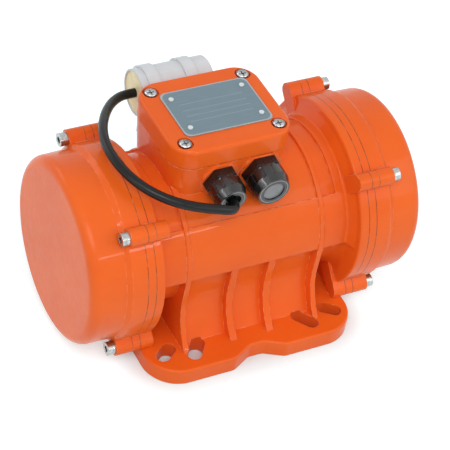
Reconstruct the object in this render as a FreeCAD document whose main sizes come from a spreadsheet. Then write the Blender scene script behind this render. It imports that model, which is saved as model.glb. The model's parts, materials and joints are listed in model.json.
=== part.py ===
import FreeCAD, Part
import math
import os

import Sketcher
from FreeCAD import Placement, Rotation, Vector

# Foot-mounted electric vibration motor (millimetres).
# Frame: origin at the centre of the underside of the feet, X along the shaft,
# +Y to the back (capacitor side), -Y to the front (cable gland side), Z up.

doc = FreeCAD.newDocument("vibration_motor")
sheet = doc.addObject("Spreadsheet::Sheet", "Dims")

# ---------------------------------------------------------------- driving sizes
SIZES = [
    # name, value, meaning
    ("axis_height", 62.0, "shaft axis above the underside of the feet"),
    ("drum_radius", 49.5, "upper half of the motor housing"),
    ("drum_half", 46.0, "half length of the drum"),
    ("band_height", 0.8, "raised band on the flanks of the drum"),
    ("band_angle", 41.0, "band from the level of the shaft upwards, degrees"),
    ("hoop_wide", 3.4, "raised hoop over each end of the drum"),
    ("hoop_height", 1.6, "raised hoop above the drum"),
    ("neck_radius", 44.5, "housing between drum and end flange, lower half"),
    ("neck_top", 48.6, "housing between drum and end flange, upper half"),
    ("collar_in", 57.5, "raised collar beside the flange"),
    ("collar_radius", 50.2, "raised collar beside the flange"),
    ("cone_in", 64.0, "where the flange rises from the collar"),
    ("neck_bore", 41.0, "inside of the neck"),
    ("stator_radius", 40.0, "outside of the stator stack and its seat"),
    ("stator_half", 31.0, "half length of the stator stack"),
    ("seat_half", 40.0, "half length of the stator seat"),
    ("flange_in", 67.2, "inner face of the housing flange"),
    ("flange_out", 73.2, "outer face of the housing flange"),
    ("flange_radius", 61.9, "housing flange, bearing shield and cover rim"),
    ("flange_fillet", 7.0, "hollow between the neck and the flange"),
    ("flange_edge", 1.4, "rounded inner edge of the flange"),
    ("spigot_radius", 52.0, "register between housing and bearing shield"),
    ("spigot_depth", 6.0, "depth of that register"),
    ("shield_wall", 5.3, "bearing shield outer ring"),
    ("screw_circle", 65.6, "radius of the cover screw circle"),
    ("lobe_radius", 5.6, "rounded lobes that carry the cover screws"),
    ("ear_length", 8.6, "length of the lobes on the housing"),
    ("rim_length", 10.8, "cover rim along the shaft"),
    ("cover_radius", 59.6, "cover just outside the rim"),
    ("cover_end_radius", 59.2, "cover at its closed end, less because of the draft"),
    ("cover_end", 113.5, "outer end of the cover from the middle"),
    ("cover_wall", 3.3, "cover wall"),
    ("cover_round", 6.4, "rounded edge of the closed end"),
    ("foot_half_x", 72.0, "foot plate, half length along the shaft"),
    ("foot_half_y", 76.5, "foot plate, half width"),
    ("foot_thick", 11.2, "foot plate"),
    ("foot_corner", 23.0, "foot plate corner radius"),
    ("foot_edge", 1.6, "rounded upper edge of the foot plate"),
    ("notch_deep", 7.0, "shallow notch in the front and back edge"),
    ("notch_bottom", 5.0, "half width of the notch at its bottom"),
    ("notch_mouth", 18.0, "half width of the notch at the edge"),
    ("notch_round", 6.0, "rounded corners of the notch"),
    ("slot_radius", 4.6, "half width of the fixing slots"),
    ("slot_out_x", 58.2, "outer fixing slot centre"),
    ("slot_out_y", 57.7, "outer fixing slot centre"),
    ("slot_out_half", 3.6, "outer slot, half the distance between arc centres"),
    ("slot_out_turn", 38.0, "outer slot direction from X, degrees"),
    ("slot_in_x", 38.7, "inner fixing slot centre"),
    ("slot_in_y", 60.9, "inner fixing slot centre"),
    ("slot_in_half", 5.0, "inner slot, half the distance between arc centres"),
    ("slot_in_turn", 53.0, "inner slot direction from X, degrees"),
    ("rib_x", 13.0, "middle ribs from the middle"),
    ("rib_thick", 4.6, "rib thickness"),
    ("rib_waist", 48.3, "ribs at their narrowest"),
    ("rib_reach", 62.5, "ribs where they meet the foot plate"),
    ("rib_knee", 42.0, "height at which the ribs start to flare"),
    ("pocket_depth", 4.6, "pockets between the ribs"),
    ("box_x", -10.5, "middle of the terminal box"),
    ("box_y", 9.4, "middle of the terminal box"),
    ("box_half_x", 40.0, "terminal box at its top edge"),
    ("box_half_y", 33.4, "terminal box at its top edge"),
    ("box_corner", 14.5, "terminal box corner radius at the top"),
    ("box_top", 128.5, "top edge of the terminal box"),
    ("box_draft", 5.5, "draft of the terminal box walls, degrees"),
    ("box_wall", 4.2, "terminal box wall"),
    ("box_floor", 113.6, "floor inside the terminal box"),
    ("box_root", 72.0, "height at which the box walls start inside the drum"),
    ("pillar_radius", 5.6, "lid screw pillars"),
    ("lid_gap", 0.8, "lid gasket thickness"),
    ("lid_top", 143.0, "top of the lid"),
    ("lid_half_x", 40.4, "lid"),
    ("lid_half_y", 33.8, "lid"),
    ("lid_corner", 15.0, "lid corner radius"),
    ("lid_wall", 4.0, "lid wall"),
    ("lid_deck", 4.5, "lid top thickness"),
    ("lid_round", 2.6, "rounded upper edge of the lid"),
    ("lid_screw_x", 31.4, "lid screws from the middle of the lid"),
    ("lid_screw_y", 24.6, "lid screws from the middle of the lid"),
    ("lid_sink", 2.9, "counterbore for the lid screws"),
    ("lid_sink_radius", 5.1, "counterbore radius"),
    ("pan_radius", 3.8, "lid screw head"),
    ("pan_height", 3.0, "lid screw head"),
    ("fix_radius", 2.4, "shank of the M5 screws"),
    ("cap_head", 4.25, "cover screw head radius"),
    ("cap_height", 5.0, "cover screw head height"),
    ("slack", 0.3, "clearance hole round a screw shank"),
    ("snug", 0.05, "running and seating clearance on radius"),
    ("plate_half_x", 29.5, "nameplate"),
    ("plate_half_y", 20.6, "nameplate"),
    ("plate_thick", 0.8, "nameplate"),
    ("plate_corner", 4.0, "nameplate corner radius"),
    ("rivet_x", 24.0, "nameplate rivets"),
    ("rivet_y", 13.6, "nameplate rivets"),
    ("rivet_radius", 1.6, "rivet head"),
    ("gland_z", 116.2, "cable glands where they leave the box wall"),
    ("gland_a_x", -19.3, "cable gland with the cable"),
    ("gland_a_hex", 11.8, "its hexagon, across corners / 2"),
    ("gland_a_cap", 10.6, "its cap at the hexagon"),
    ("gland_a_mouth", 8.6, "its cap at the mouth"),
    ("gland_a_thread", 7.9, "its thread"),
    ("gland_b_x", 8.3, "blanked cable gland"),
    ("gland_b_hex", 13.5, "its hexagon, across corners / 2"),
    ("gland_b_cap", 12.2, "its cap at the hexagon"),
    ("gland_b_mouth", 10.3, "its cap at the mouth"),
    ("gland_b_thread", 9.9, "its thread"),
    ("gland_hex_long", 5.6, "hexagon length"),
    ("gland_cap_long", 13.0, "cap length"),
    ("gland_pad", 1.4, "raised round pad under each gland"),
    ("cord_radius", 3.0, "capacitor cable"),
    ("cap_radius", 15.1, "capacitor can"),
    ("cap_x0", -38.4, "left end of the capacitor"),
    ("cap_long", 49.6, "capacitor length"),
    ("cap_y", 60.6, "capacitor axis"),
    ("cap_z", 121.0, "capacitor axis"),
    ("resin_thick", 2.0, "resin seal in the capacitor end"),
    ("clip_a_x", -29.6, "first capacitor clip"),
    ("clip_b_x", -4.2, "second capacitor clip"),
    ("clip_wide", 8.0, "clip width"),
    ("clip_thick", 1.3, "clip strap"),
    ("clip_seat", 43.0, "flat seats for the clips on the back of the box"),
    ("shaft_radius", 8.5, "shaft at the bearings"),
    ("shaft_mid", 10.5, "shaft inside the rotor"),
    ("shaft_end", 8.0, "shaft at the weights"),
    ("shaft_half", 106.0, "half length of the shaft"),
    ("rotor_radius", 24.0, "rotor"),
    ("air_gap", 0.5, "between rotor and stator"),
    ("bearing_in", 60.0, "inner side of the bearing"),
    ("bearing_wide", 12.0, "bearing width"),
    ("bearing_radius", 20.0, "bearing outside radius"),
    ("race_out", 16.6, "inside of the outer ring"),
    ("race_in", 11.6, "outside of the inner ring"),
    ("hub_wall", 6.5, "bearing hub wall"),
    ("weight_radius", 51.0, "eccentric weights"),
    ("weight_thick", 10.0, "eccentric weights"),
    ("weight_in", 80.5, "inner side of the fixed weight"),
    ("weight_gap", 0.1, "running gap on each side of the adjustable weight"),
    ("weight_hub", 14.5, "hub of the weights"),
    ("seal_wide", 3.5, "shaft seal along the shaft"),
    ("seal_groove", 58.2, "inner radius of the cover seal's groove"),
    ("seal_thick", 1.8, "cover seal section"),
    ("lip", 4.0, "shoulder that holds the bearing from inside"),
    ("socket", 2.3, "hexagon socket of the M5 cap screws, across corners / 2"),
    ("socket_deep", 2.6, "hexagon socket depth"),
    ("cage_thick", 1.8, "bearing cage"),
    ("cage_half", 3.6, "bearing cage, half width"),
    ("disc_thick", 1.2, "graduated disc between the weights"),
    ("disc_radius", 40.0, "graduated disc"),
    ("snap_deep", 0.6, "snap ring groove"),
    ("snap_wide", 1.4, "snap ring"),
    ("plate_shift", 1.0, "nameplate, to the right of the lid's middle"),
    ("rivet_deep", 3.0, "rivet holes in the lid"),
    ("pin_radius", 0.9, "rivet shank"),
    ("rivet_head", 0.8, "rivet head height"),
    ("gasket_inset", 0.6, "lid gasket inside the edge of the box"),
    ("cross_long", 4.6, "cross recess of the lid screws"),
    ("cross_wide", 1.1, "cross recess of the lid screws"),
    ("block_half", 17.0, "terminal block, half length"),
    ("stud_radius", 2.0, "terminal studs"),
    ("gland_lip", 3.4, "gland cap wall at the mouth"),
    ("gland_sleeve", 7.0, "threaded sleeve inside the cap"),
    ("gland_taper", 5.0, "tapered end of the cap"),
    ("gland_seal", 3.0, "seal or disc in the mouth of a gland"),
    ("seal_sunk", 3.0, "cable seal below the mouth"),
    ("disc_sunk", 1.0, "blanking disc below the mouth"),
    ("can_wall", 1.2, "capacitor can wall"),
    ("can_round", 1.6, "rounded bottom edge of the can"),
    ("resin_sunk", 0.6, "resin below the rim of the can"),
    ("clip_screw_z", 103.0, "clip screws above the underside of the feet"),
    ("hex_head", 4.6, "clip screw head, across corners / 2"),
]

for row, (name, value, meaning) in enumerate(SIZES, start=1):
    sheet.set("A%d" % row, str(value))
    sheet.setAlias("A%d" % row, name)
    sheet.set("B%d" % row, meaning)
doc.recompute()


class Size:
    """A number together with the spreadsheet formula that gives it."""

    def __init__(self, value, text=None):
        self.value = float(value)
        self.text = text if text is not None else repr(float(value))

    def _join(self, other, sign, value):
        other = size(other)
        return Size(value, "(%s %s %s)" % (self.text, sign, other.text))

    def __add__(self, other):
        return self._join(other, "+", self.value + size(other).value)

    def __sub__(self, other):
        return self._join(other, "-", self.value - size(other).value)

    def __mul__(self, other):
        return self._join(other, "*", self.value * size(other).value)

    def __truediv__(self, other):
        return self._join(other, "/", self.value / size(other).value)

    def __radd__(self, other):
        return size(other) + self

    def __rsub__(self, other):
        return size(other) - self

    def __rmul__(self, other):
        return size(other) * self

    def __neg__(self):
        return size(0) - self


def size(number):
    return number if isinstance(number, Size) else Size(number)


def tan_deg(angle):
    angle = size(angle)
    return Size(math.tan(math.radians(angle.value)), "tan(%s * 1 deg)" % angle.text)


def cos_deg(angle):
    angle = size(angle)
    return Size(math.cos(math.radians(angle.value)), "cos(%s * 1 deg)" % angle.text)


def sin_deg(angle):
    angle = size(angle)
    return Size(math.sin(math.radians(angle.value)), "sin(%s * 1 deg)" % angle.text)


class Dims:
    pass


D = Dims()
for name, value, meaning in SIZES:
    setattr(D, name, Size(value, "Dims." + name))

DIAGONAL = D.screw_circle * math.sqrt(0.5)
NODES = []


def bind(obj, prop, number):
    """Give a property its value and its formula."""
    number = size(number)
    setattr(obj, prop, number.value)
    if "Dims." in number.text:
        obj.setExpression(prop, number.text)


def place(obj, x, y, z, rotation=None, prop="Placement"):
    numbers = [size(v) for v in (x, y, z)]
    base = Vector(*[n.value for n in numbers])
    setattr(obj, prop, Placement(base, rotation or Rotation()))
    for letter, number in zip("xyz", numbers):
        if "Dims." in number.text:
            obj.setExpression("%s.Base.%s" % (prop, letter), number.text)


def new_body(label, x=0, y=0, z=0, rotation=None):
    body = doc.addObject("PartDesign::Body", label)
    body.Label = label
    body.AllowCompound = True
    place(body, x, y, z, rotation)
    NODES.append(body)
    return body


def origin_part(body, role):
    return [f for f in body.Origin.OriginFeatures if f.Role == role][0]


def new_sketch(body, plane, shift=0, turn=0.0):
    """A sketch on one of the body's own planes, moved along its normal."""
    sk = body.newObject("Sketcher::SketchObject", body.Label + "_sketch")
    sk.AttachmentSupport = (origin_part(body, plane), [""])
    sk.MapMode = "FlatFace"
    shift = size(shift)
    sk.AttachmentOffset = Placement(Vector(0, 0, shift.value), Rotation(Vector(0, 0, 1), turn))
    if "Dims." in shift.text:
        sk.setExpression("AttachmentOffset.Base.z", shift.text)
    return sk


def hold(sk, geo, point, x, y):
    """Hold a point of the sketch at x, y from the sketch origin."""
    for kind, axis, number in (("DistanceX", -2, size(x)), ("DistanceY", -1, size(y))):
        if number.value == 0 and "Dims." not in number.text:
            sk.addConstraint(Sketcher.Constraint("PointOnObject", geo, point, axis))
            continue
        index = sk.addConstraint(Sketcher.Constraint(kind, -1, 1, geo, point, number.value))
        if "Dims." in number.text:
            sk.setExpression("Constraints[%d]" % index, number.text)


def radius_of(sk, geo, number):
    number = size(number)
    index = sk.addConstraint(Sketcher.Constraint("Radius", geo, number.value))
    if "Dims." in number.text:
        sk.setExpression("Constraints[%d]" % index, number.text)


def outline(sk, points):
    """Closed outline of straight edges, every corner held by its sizes.

    A third number of a point is the radius that rounds its corner.
    """
    corners = [[size(v) for v in point] for point in points]
    first = sk.GeometryCount
    count = len(corners)
    for i in range(count):
        a = corners[i]
        b = corners[(i + 1) % count]
        start = Vector(a[0].value, a[1].value, 0)
        end = Vector(b[0].value, b[1].value, 0)
        sk.addGeometry(Part.LineSegment(start, end), False)
    for i in range(count):
        sk.addConstraint(Sketcher.Constraint("Coincident", first + i, 2, first + (i + 1) % count, 1))
    points_at = [first + i for i in range(count)]
    for i in range(count):
        if len(corners[i]) > 2:
            sk.fillet(first + (i - 1) % count, 2, corners[i][2].value, True, True)
            points_at[i] = sk.GeometryCount - 1
    for i in range(count):
        hold(sk, points_at[i], 1, *corners[i][:2])
        if len(corners[i]) > 2:
            radius_of(sk, points_at[i] - 1, corners[i][2])


def rounded_box(sk, cx, cy, hx, hy, corner):
    """Rectangle with rounded corners about the point cx, cy."""
    cx, cy, hx, hy, corner = [size(v) for v in (cx, cy, hx, hy, corner)]
    ix = hx - corner
    iy = hy - corner
    first = sk.GeometryCount
    r = corner.value
    centres = [(cx + ix, cy + iy), (cx - ix, cy + iy), (cx - ix, cy - iy), (cx + ix, cy - iy)]
    for i, (ax, ay) in enumerate(centres):
        middle = Vector(ax.value, ay.value, 0)
        circle = Part.Circle(middle, Vector(0, 0, 1), r)
        sk.addGeometry(Part.ArcOfCircle(circle, i * math.pi / 2, (i + 1) * math.pi / 2), False)
    for i in range(4):
        a = sk.Geometry[first + i].EndPoint
        b = sk.Geometry[first + (i + 1) % 4].StartPoint
        sk.addGeometry(Part.LineSegment(a, b), False)
    for i in range(4):
        line = first + 4 + i
        sk.addConstraint(Sketcher.Constraint("Tangent", first + i, 2, line, 1))
        sk.addConstraint(Sketcher.Constraint("Tangent", line, 2, first + (i + 1) % 4, 1))
        sk.addConstraint(Sketcher.Constraint("Vertical" if i % 2 else "Horizontal", line))
    for i in range(1, 4):
        sk.addConstraint(Sketcher.Constraint("Equal", first, first + i))
    radius_of(sk, first, corner)
    hold(sk, first, 3, *centres[0])
    hold(sk, first + 2, 3, *centres[2])


def circle(sk, x, y, radius):
    geo = sk.addGeometry(Part.Circle(Vector(size(x).value, size(y).value, 0), Vector(0, 0, 1),
                                     size(radius).value), False)
    radius_of(sk, geo, radius)
    hold(sk, geo, 3, x, y)


def lobe(sk, inner, centre, radius):
    """U shaped lobe: straight sides from the inner edge to a half circle."""
    inner, centre, radius = size(inner), size(centre), size(radius)
    i, c, r = inner.value, centre.value, radius.value
    g = sk.GeometryCount
    sk.addGeometry(Part.LineSegment(Vector(i, r, 0), Vector(i, -r, 0)), False)
    sk.addGeometry(Part.LineSegment(Vector(i, -r, 0), Vector(c, -r, 0)), False)
    sk.addGeometry(Part.ArcOfCircle(Part.Circle(Vector(c, 0, 0), Vector(0, 0, 1), r),
                                    -math.pi / 2, math.pi / 2), False)
    sk.addGeometry(Part.LineSegment(Vector(c, r, 0), Vector(i, r, 0)), False)
    sk.addConstraint(Sketcher.Constraint("Coincident", g, 2, g + 1, 1))
    sk.addConstraint(Sketcher.Constraint("Tangent", g + 1, 2, g + 2, 1))
    sk.addConstraint(Sketcher.Constraint("Tangent", g + 2, 2, g + 3, 1))
    sk.addConstraint(Sketcher.Constraint("Coincident", g + 3, 2, g, 1))
    sk.addConstraint(Sketcher.Constraint("Vertical", g))
    sk.addConstraint(Sketcher.Constraint("Horizontal", g + 1))
    sk.addConstraint(Sketcher.Constraint("Horizontal", g + 3))
    radius_of(sk, g + 2, radius)
    hold(sk, g + 2, 3, centre, 0)
    index = sk.addConstraint(Sketcher.Constraint("DistanceX", -1, 1, g, 1, i))
    sk.setExpression("Constraints[%d]" % index, inner.text)


def slot(sk, x, y, half, turn, radius):
    """Slot with round ends about x, y, its length turned from the sketch's X."""
    ends = [(x + half * cos_deg(turn) * way, y + half * sin_deg(turn) * way) for way in (1, -1)]
    angle = math.radians(size(turn).value)
    r = radius.value
    g = sk.GeometryCount
    for i, (ax, ay) in enumerate(ends):
        middle = Part.Circle(Vector(ax.value, ay.value, 0), Vector(0, 0, 1), r)
        start = angle - math.pi / 2 + i * math.pi
        sk.addGeometry(Part.ArcOfCircle(middle, start, start + math.pi), False)
    for i in range(2):
        a = sk.Geometry[g + i].EndPoint
        b = sk.Geometry[g + 1 - i].StartPoint
        sk.addGeometry(Part.LineSegment(a, b), False)
    for i in range(2):
        sk.addConstraint(Sketcher.Constraint("Tangent", g + i, 2, g + 2 + i, 1))
        sk.addConstraint(Sketcher.Constraint("Tangent", g + 2 + i, 2, g + 1 - i, 1))
    sk.addConstraint(Sketcher.Constraint("Equal", g, g + 1))
    radius_of(sk, g, radius)
    for i in range(2):
        hold(sk, g + i, 3, *ends[i])


def check_change(body, before, grows, what):
    """A pocket that misses or a pad inside the solid would pass unseen."""
    doc.recompute()
    change = body.Shape.Volume - before
    if (change if grows else -change) < 1e-3:
        raise RuntimeError("%s of %s changed nothing" % (what, body.Label))


def pad(body, sk, length, back=False, both=False):
    before = body.Shape.Volume if body.Tip else 0.0
    feature = body.newObject("PartDesign::Pad", body.Label + "_pad")
    feature.Profile = sk
    feature.Refine = False
    bind(feature, "Length", length)
    feature.Reversed = back
    if both:
        feature.Midplane = True
    check_change(body, before, True, "pad")
    return feature


def pocket(body, sk, length, back=False, through=False, both=False):
    before = body.Shape.Volume
    feature = body.newObject("PartDesign::Pocket", body.Label + "_pocket")
    feature.Profile = sk
    feature.Refine = False
    bind(feature, "Length", length)
    feature.Reversed = back
    if through:
        feature.Type = "ThroughAll"
    if both:
        feature.Midplane = True
    check_change(body, before, False, "pocket")
    return feature


def revolve(body, sk, angle=360.0, back=False, groove=False):
    """Turn the profile about the sketch's horizontal axis, which is the body's X axis."""
    before = body.Shape.Volume if body.Tip else 0.0
    kind = "Groove" if groove else "Revolution"
    feature = body.newObject("PartDesign::" + kind, body.Label + "_turned")
    feature.Profile = sk
    feature.Refine = False
    feature.ReferenceAxis = (origin_part(body, "X_Axis"), [""])
    bind(feature, "Angle", angle)
    feature.Reversed = back
    check_change(body, before, not groove, "turning")
    return feature


def turned(body, points, groove=False):
    """Full turn of a closed outline given as along-axis, radius pairs."""
    sk = new_sketch(body, "XZ_Plane")
    outline(sk, points)
    return revolve(body, sk, groove=groove)


ALONG = {"+x": Rotation(Vector(0, 1, 0), 90), "-x": Rotation(Vector(0, 1, 0), -90),
         "-y": Rotation(Vector(1, 0, 0), 90), "+y": Rotation(Vector(1, 0, 0), -90),
         "+z": Rotation(), "-z": Rotation(Vector(1, 0, 0), 180)}


def prim(body, kind, at, way="+z", **sizes):
    """One of the ready solids, added or subtracted."""
    before = body.Shape.Volume if body.Tip else 0.0
    feature = body.newObject("PartDesign::" + kind, body.Label + "_" + kind)
    feature.Refine = False
    for prop, number in sizes.items():
        if prop == "Polygon":
            feature.Polygon = number
        else:
            bind(feature, prop, number)
    rotation = way if isinstance(way, Rotation) else ALONG[way]
    place(feature, *at, rotation=rotation)
    check_change(body, before, kind.startswith("Additive"), kind)
    return feature


def around(body, features, count):
    """Repeat features evenly about the body's X axis."""
    pattern = body.newObject("PartDesign::PolarPattern", body.Label + "_pattern")
    pattern.Originals = features
    pattern.Axis = (origin_part(body, "X_Axis"), [""])
    pattern.Angle = 360
    pattern.Occurrences = count
    body.Tip = pattern
    doc.recompute()
    return pattern


def round_edges(body, radius, wanted, kind="Fillet"):
    """Round or bevel the edges that the test picks."""
    doc.recompute()
    tip = body.Tip
    names = ["Edge%d" % (i + 1) for i, e in enumerate(tip.Shape.Edges) if wanted(e)]
    if not names:
        raise RuntimeError("no edge to round on " + body.Label)
    feature = body.newObject("PartDesign::" + kind, body.Label + "_round")
    feature.Refine = False
    feature.Base = (tip, names)
    bind(feature, "Radius" if kind == "Fillet" else "Size", radius)
    doc.recompute()
    return feature


def ring_edge(x, radius):
    """Test for the full circle edge at a place along X."""
    def test(edge):
        curve = edge.Curve
        if not isinstance(curve, Part.Circle):
            return False
        return abs(curve.Center.x - size(x).value) < 1e-3 and abs(curve.Radius - size(radius).value) < 1e-3
    return test


# ---------------------------------------------------------------- housing
housing = new_body("housing", z=D.axis_height)
A = D.axis_height
ZERO = size(0)

# foot plate with a shallow notch in each long edge, its upper edge rounded
sk = new_sketch(housing, "XY_Plane", -A)
rounded_box(sk, 0, 0, D.foot_half_x, D.foot_half_y, D.foot_corner)
pad(housing, sk, D.foot_thick)
sk = new_sketch(housing, "XY_Plane", -A - 1)
for side in (1, -1):
    edge = D.foot_half_y * side
    bottom = (D.foot_half_y - D.notch_deep) * side
    far = D.notch_mouth + D.notch_round
    outline(sk, [(-D.notch_bottom, bottom, D.notch_round), (D.notch_bottom, bottom, D.notch_round),
                 (D.notch_mouth, edge, D.notch_round), (far, edge), (far, edge + 2 * side),
                 (-far, edge + 2 * side), (-far, edge), (-D.notch_mouth, edge, D.notch_round)])
pocket(housing, sk, D.foot_thick + 2, back=True)
foot_top = (D.foot_thick - A).value
round_edges(housing, D.foot_edge, lambda edge: all(abs(v.Z - foot_top) < 1e-3 for v in edge.Vertexes))
# drum: upper half turned about the shaft axis, with a raised hoop over each end
for near, far, outer in ((-D.drum_half, D.drum_half, D.drum_radius),
                         (D.drum_half - D.hoop_wide / 2, D.drum_half + D.hoop_wide / 2,
                          D.drum_radius + D.hoop_height),
                         (-D.drum_half - D.hoop_wide / 2, -D.drum_half + D.hoop_wide / 2,
                          D.drum_radius + D.hoop_height)):
    sk = new_sketch(housing, "XY_Plane")
    outline(sk, [(near, D.neck_bore - 8), (far, D.neck_bore - 8), (far, outer, D.hoop_height / 2),
                 (near, outer, D.hoop_height / 2)])
    revolve(housing, sk, 180.0)
# raised bands on the front and back flanks
for front in (False, True):
    sk = new_sketch(housing, "XY_Plane")
    inner = D.drum_radius - 2
    outer = D.drum_radius + D.band_height
    if front:
        inner = -inner
        outer = -outer
    half = D.cone_in
    outline(sk, [(-half, inner), (half, inner), (half, outer), (-half, outer)])
    revolve(housing, sk, D.band_angle, back=front)
# necks and end flanges, turned full circle, with a hollow between neck and flange
root = D.flange_in - D.flange_edge
turned(housing, [(-D.flange_out, D.neck_bore - 8), (D.flange_out, D.neck_bore - 8),
                 (D.flange_out, D.flange_radius), (D.flange_in, D.flange_radius, D.flange_edge),
                 (root, D.neck_radius, D.flange_fillet), (-root, D.neck_radius, D.flange_fillet),
                 (-D.flange_in, D.flange_radius, D.flange_edge), (-D.flange_out, D.flange_radius)])
# fuller upper half of each neck, with a collar from which the flange rises
for side in (1, -1):
    sk = new_sketch(housing, "XY_Plane")
    outline(sk, [((D.drum_half - 1) * side, D.neck_bore - 8), ((D.flange_in + 1) * side, D.neck_bore - 8),
                 ((D.flange_in + 1) * side, D.flange_radius - 1),
                 (D.cone_in * side, D.collar_radius, D.hoop_height),
                 (D.collar_in * side, D.collar_radius, D.hoop_height / 2), (D.collar_in * side, D.neck_top),
                 ((D.drum_half - 1) * side, D.neck_top)])
    revolve(housing, sk, 180.0)
# pedestal between drum and foot plate, in the shape of the pockets' inner wall
waist = D.rib_waist - D.pocket_depth
knee = D.rib_knee - A
plate = D.foot_thick - A


def flank(sk, side, wide, low):
    """Half section from the shaft level down to the foot plate, upright and then flaring out."""
    drop = knee - plate
    flare = low - wide
    bow = (flare * flare + drop * drop) / (flare * 2)
    corners = [(low, plate), (low, plate - 1), (ZERO, plate - 1), (ZERO, ZERO),
               (wide + 1.2, ZERO), (wide, knee)]
    g = sk.GeometryCount
    for (ax, ay), (bx, by) in zip(corners, corners[1:]):
        start = Vector(ax.value * side, ay.value, 0)
        end = Vector(bx.value * side, by.value, 0)
        sk.addGeometry(Part.LineSegment(start, end), False)
    middle = Vector((wide + bow).value * side, knee.value, 0)
    turn = math.asin(drop.value / bow.value)
    span = (math.pi, math.pi + turn) if side > 0 else (-turn, 0.0)
    arc = sk.addGeometry(Part.ArcOfCircle(Part.Circle(middle, Vector(0, 0, 1), bow.value), *span), False)
    for i in range(4):
        sk.addConstraint(Sketcher.Constraint("Coincident", g + i, 2, g + i + 1, 1))
    upper = 1 if side > 0 else 2
    sk.addConstraint(Sketcher.Constraint("Coincident", g + 4, 2, arc, upper))
    sk.addConstraint(Sketcher.Constraint("Coincident", arc, 3 - upper, g, 1))
    for i in range(5):
        hold(sk, g + i, 1, corners[i][0] * side, corners[i][1])
    hold(sk, g + 4, 2, wide * side, knee)
    index = sk.addConstraint(Sketcher.Constraint("DistanceY", -1, 1, arc, 3, knee.value))
    sk.setExpression("Constraints[%d]" % index, knee.text)


for side in (1, -1):
    sk = new_sketch(housing, "YZ_Plane")
    flank(sk, side, waist, D.rib_reach - 8)
    pad(housing, sk, D.drum_half * 2, both=True)
    # middle ribs, and end webs that run on from the hoops
    for middle, proud in ((-D.rib_x, 0), (D.rib_x, 0), (-D.drum_half, 1), (D.drum_half, 1)):
        thick = D.hoop_wide if proud else D.rib_thick
        sk = new_sketch(housing, "YZ_Plane", middle - thick / 2)
        flank(sk, side, D.rib_waist + D.hoop_height * proud, D.rib_reach)
        pad(housing, sk, thick)
# webs under the necks
prim(housing, "AdditiveBox", (-D.flange_out + 1, size(-16), -A + 1), Length=D.flange_out * 2 - 2,
     Width=32, Height=A - D.neck_bore + 2)
# screw lobes with their long ears
for side in (1, -1):
    sk = new_sketch(housing, "YZ_Plane", D.flange_out * side, 45)
    lobe(sk, D.neck_bore + 4, D.screw_circle, D.lobe_radius)
    ear = pad(housing, sk, D.ear_length, back=side > 0)
    around(housing, [ear], 4)
# terminal box standing on the drum, narrowing downwards
shrink = (D.box_top - D.box_root) * tan_deg(D.box_draft)
low_sk = new_sketch(housing, "XY_Plane", D.box_root - A)
rounded_box(low_sk, D.box_x, D.box_y, D.box_half_x - shrink, D.box_half_y - shrink, D.box_corner - shrink)
top_sk = new_sketch(housing, "XY_Plane", D.box_top - A)
rounded_box(top_sk, D.box_x, D.box_y, D.box_half_x, D.box_half_y, D.box_corner)
before = housing.Shape.Volume
loft = housing.newObject("PartDesign::AdditiveLoft", "box_walls")
loft.Profile = low_sk
loft.Sections = [top_sk]
loft.Ruled = True
check_change(housing, before, True, "terminal box")
# flat seats for the capacitor clips on the back wall
for x in (D.clip_a_x, D.clip_b_x):
    prim(housing, "AdditiveBox", (x - D.clip_wide / 2 - 2, D.clip_seat - 12, size(94) - A),
         Length=D.clip_wide + 4, Width=12, Height=D.box_top - 94 - 1)
for x in (D.clip_a_x, D.clip_b_x):
    prim(housing, "SubtractiveCylinder", (x, D.clip_seat + 1, D.clip_screw_z - A), "-y",
         Radius=D.fix_radius + D.snug, Height=11)
# raised round pads for the glands, square to the drafted wall
wall_y = D.box_y - D.box_half_y + (D.box_top - D.gland_z) * tan_deg(D.box_draft)
TILT = Rotation(Vector(1, 0, 0), 90 + D.box_draft.value)


def gland_point(x, out):
    """Point on a gland's axis, given by its distance outwards, from the shaft's level."""
    return x, wall_y + 2 - out * cos_deg(D.box_draft), D.gland_z - A - out * sin_deg(D.box_draft)


for x, hexagon in ((D.gland_a_x, D.gland_a_hex), (D.gland_b_x, D.gland_b_hex)):
    prim(housing, "AdditiveCylinder", gland_point(x, ZERO), TILT,
         Radius=hexagon + 0.6, Height=D.gland_pad + 2)
    prim(housing, "SubtractiveCylinder", gland_point(x, D.gland_pad + 2), TILT,
         Radius=hexagon + 0.8, Height=D.gland_hex_long + 3)
# the box and its pads end at one level
prim(housing, "SubtractiveBox", (D.box_x - 60, D.box_y - 60, D.box_top - A), Length=120, Width=120,
     Height=10)
# room inside the terminal box, with the lid screw pillars left standing
sk = new_sketch(housing, "XY_Plane", D.box_top - A)
rounded_box(sk, D.box_x, D.box_y, D.box_half_x - D.box_wall, D.box_half_y - D.box_wall,
            D.box_corner - D.box_wall)
pocket(housing, sk, D.box_top - D.box_floor)
for sx in (1, -1):
    for sy in (1, -1):
        at = (D.box_x + D.lid_screw_x * sx, D.box_y + D.lid_screw_y * sy)
        prim(housing, "AdditiveCylinder", (*at, D.box_floor - A - 1), Radius=D.pillar_radius,
             Height=D.box_top - D.box_floor + 1)
        prim(housing, "SubtractiveCylinder", (*at, D.box_floor - A), Radius=D.fix_radius + D.snug,
             Height=D.box_top - D.box_floor + 1)
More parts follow.
